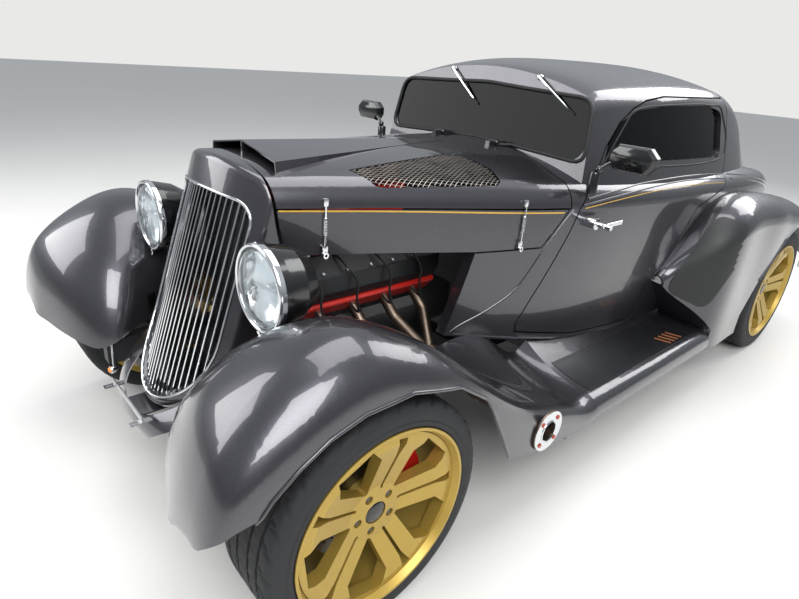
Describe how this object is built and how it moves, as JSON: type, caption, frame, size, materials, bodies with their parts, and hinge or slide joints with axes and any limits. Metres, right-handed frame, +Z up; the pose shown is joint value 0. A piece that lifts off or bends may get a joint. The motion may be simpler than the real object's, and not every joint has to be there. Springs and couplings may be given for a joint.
{
  "type": "hot rod",
  "caption": "Low coupe hot rod with open-sided engine bay, upright bar grille, separate fenders, running boards and wide split-spoke wheels; doors, lids and wheels move.",
  "frame": {"origin": "on the ground under the middle of the car's length", "axes": "+X to the nose, +Y to the car's left, +Z up"},
  "size_m": [4.0604, 1.754, 1.4579],
  "materials": {
    "paint": "gloss",
    "dark_glass": "gloss",
    "lens_glass": "gloss",
    "red_lens": "gloss",
    "tyre": "matte",
    "gold_wheel": "satin",
    "disc_steel": "machined",
    "caliper_red": "gloss",
    "frame_black": "satin",
    "engine_red": "gloss",
    "cover_black": "satin",
    "header_steel": "satin",
    "chrome": "polished",
    "core_black": "matte",
    "mesh_steel": "satin",
    "black_plastic": "gloss",
    "leather": "matte",
    "trim_dark": "matte"
  },
  "bodies": {
    "body": {"body_shell": "paint", "hood_sides": "paint", "front_fenders": "paint", "rear_fenders": "paint", "front_apron": "paint", "grille_shell": "paint", "running_boards": "trim_dark", "dashboard": "trim_dark", "steering_wheel": "trim_dark", "screen_glass": "dark_glass", "headlamp_lenses": "lens_glass", "tail_lamps": "red_lens", "brake_calipers_rear": "caliper_red", "floor_pan": "frame_black", "wheel_tubs": "frame_black", "chassis_frame": "frame_black", "front_suspension": "frame_black", "rear_axle": "frame_black", "fuel_tank": "frame_black", "headlamp_buckets": "frame_black", "engine_block": "engine_red", "valve_covers": "cover_black", "exhaust_headers": "header_steel", "grille_bars": "chrome", "apron_bracket": "chrome", "radiator": "core_black", "mirrors": "black_plastic", "wipers": "black_plastic", "seat_cushions": "leather", "seat_backs": "leather"},
    "door_left": {"door_left": "paint", "door_glass_left": "dark_glass", "door_handle_left": "chrome"},
    "door_right": {"door_right": "paint", "door_glass_right": "dark_glass", "door_handle_right": "chrome"},
    "hood": {"hood": "paint", "hood_mesh": "mesh_steel"},
    "deck_lid": {"deck_lid": "paint"},
    "knuckle_left": {"knuckle_left": "frame_black", "brake_caliper_front_left": "caliper_red"},
    "knuckle_right": {"knuckle_right": "frame_black", "brake_caliper_front_right": "caliper_red"},
    "wheel_front_left": {"tyre_front_left": "tyre", "rim_front_left": "gold_wheel", "brake_disc_front_left": "disc_steel"},
    "wheel_front_right": {"tyre_front_right": "tyre", "rim_front_right": "gold_wheel", "brake_disc_front_right": "disc_steel"},
    "wheel_rear_left": {"tyre_rear_left": "tyre", "rim_rear_left": "gold_wheel", "brake_disc_rear_left": "disc_steel"},
    "wheel_rear_right": {"tyre_rear_right": "tyre", "rim_rear_right": "gold_wheel", "brake_disc_rear_right": "disc_steel"}
  },
  "joints": [
    {"name": "door_left_hinge", "type": "hinge", "parent": "body", "child": "door_left", "pos_m": [-0.752, 0.672, 0.9], "axis": [0, 0, 1], "range_deg": [0, 65]},
    {"name": "door_right_hinge", "type": "hinge", "parent": "body", "child": "door_right", "pos_m": [-0.752, -0.672, 0.9], "axis": [0, 0, -1], "range_deg": [0, 65]},
    {"name": "hood_hinge", "type": "hinge", "parent": "body", "child": "hood", "pos_m": [0.496, 0, 1.136], "axis": [0, -1, 0], "range_deg": [0, 50]},
    {"name": "deck_lid_hinge", "type": "hinge", "parent": "body", "child": "deck_lid", "pos_m": [-1.518, 0, 0.972], "axis": [0, 1, 0], "range_deg": [0, 60]},
    {"name": "steer_left", "type": "hinge", "parent": "body", "child": "knuckle_left", "pos_m": [1.57, 0.648, 0.339], "axis": [0, 0, 1], "range_deg": [-28, 28]},
    {"name": "steer_right", "type": "hinge", "parent": "body", "child": "knuckle_right", "pos_m": [1.57, -0.648, 0.339], "axis": [0, 0, 1], "range_deg": [-28, 28]},
    {"name": "spin_front_left", "type": "hinge", "parent": "knuckle_left", "child": "wheel_front_left", "pos_m": [1.57, 0.7275, 0.339], "axis": [0, 1, 0], "continuous": true},
    {"name": "spin_front_right", "type": "hinge", "parent": "knuckle_right", "child": "wheel_front_right", "pos_m": [1.57, -0.7275, 0.339], "axis": [0, 1, 0], "continuous": true},
    {"name": "spin_rear_left", "type": "hinge", "parent": "body", "child": "wheel_rear_left", "pos_m": [-1.275, 0.7025, 0.348], "axis": [0, 1, 0], "continuous": true},
    {"name": "spin_rear_right", "type": "hinge", "parent": "body", "child": "wheel_rear_right", "pos_m": [-1.275, -0.7025, 0.348], "axis": [0, 1, 0], "continuous": true}
  ],
  "couplings": [
    {"joint": "steer_right", "follows": "steer_left", "ratio": 1}
  ]
}
